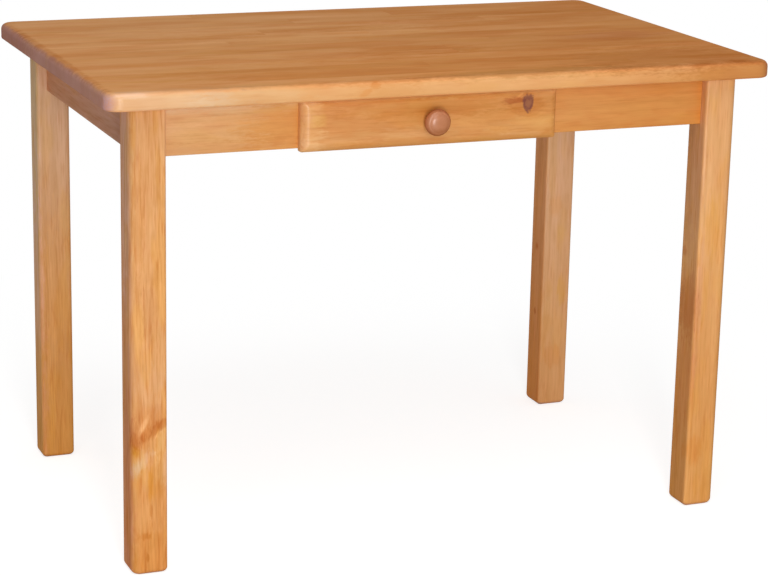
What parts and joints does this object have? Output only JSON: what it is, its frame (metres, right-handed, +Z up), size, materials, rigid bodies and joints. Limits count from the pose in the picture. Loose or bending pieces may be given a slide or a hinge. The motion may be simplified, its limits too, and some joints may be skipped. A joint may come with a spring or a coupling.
{
  "type": "dining table",
  "caption": "Pine tavern table: rounded plank top on square legs, aprons set back, one shallow drawer with a turned knob in the front apron.",
  "frame": {"origin": "on the floor, under the middle of the table top", "axes": "+X along the table's length, +Y across it away from the drawer front, +Z up"},
  "size_m": [1.1, 0.7, 0.76],
  "materials": {
    "lacquered_pine": "satin honey-coloured lacquer",
    "plain_pine": "sanded, unlacquered",
    "plywood": "sanded thin plywood",
    "knob_wood": "satin reddish-brown lacquer",
    "dowel_beech": "fluted raw beech",
    "zinc_steel": "bright zinc plating"
  },
  "bodies": {
    "frame": {"table_top": "lacquered_pine", "leg_front_left": "lacquered_pine", "leg_front_right": "lacquered_pine", "leg_back_left": "lacquered_pine", "leg_back_right": "lacquered_pine", "apron_front": "lacquered_pine", "apron_back": "lacquered_pine", "apron_left": "lacquered_pine", "apron_right": "lacquered_pine", "corner_block_front_left": "plain_pine", "corner_block_front_right": "plain_pine", "corner_block_back_left": "plain_pine", "corner_block_back_right": "plain_pine", "drawer_runner_left": "plain_pine", "drawer_runner_right": "plain_pine", "drawer_kicker_left": "plain_pine", "drawer_kicker_right": "plain_pine", "drawer_stop_block": "plain_pine", "apron_dowels": "dowel_beech", "runner_dowels": "dowel_beech", "corner_block_screws": "zinc_steel", "leg_hanger_bolts": "zinc_steel", "leg_bolt_washers": "zinc_steel", "leg_bolt_nuts": "zinc_steel", "top_brackets": "zinc_steel", "top_bracket_screws": "zinc_steel", "kicker_screws": "zinc_steel", "drawer_stop_screw": "zinc_steel"},
    "drawer": {"drawer_front": "lacquered_pine", "drawer_inner_front": "plain_pine", "drawer_side_left": "plain_pine", "drawer_side_right": "plain_pine", "drawer_back": "plain_pine", "drawer_bottom": "plywood", "drawer_knob": "knob_wood", "knob_screw": "zinc_steel", "drawer_box_screws": "zinc_steel", "drawer_front_screws": "zinc_steel"}
  },
  "joints": [
    {"name": "drawer_slide", "type": "slide", "parent": "frame", "child": "drawer", "axis": [0, -1, 0], "range_m": [0, 0.3]}
  ]
}
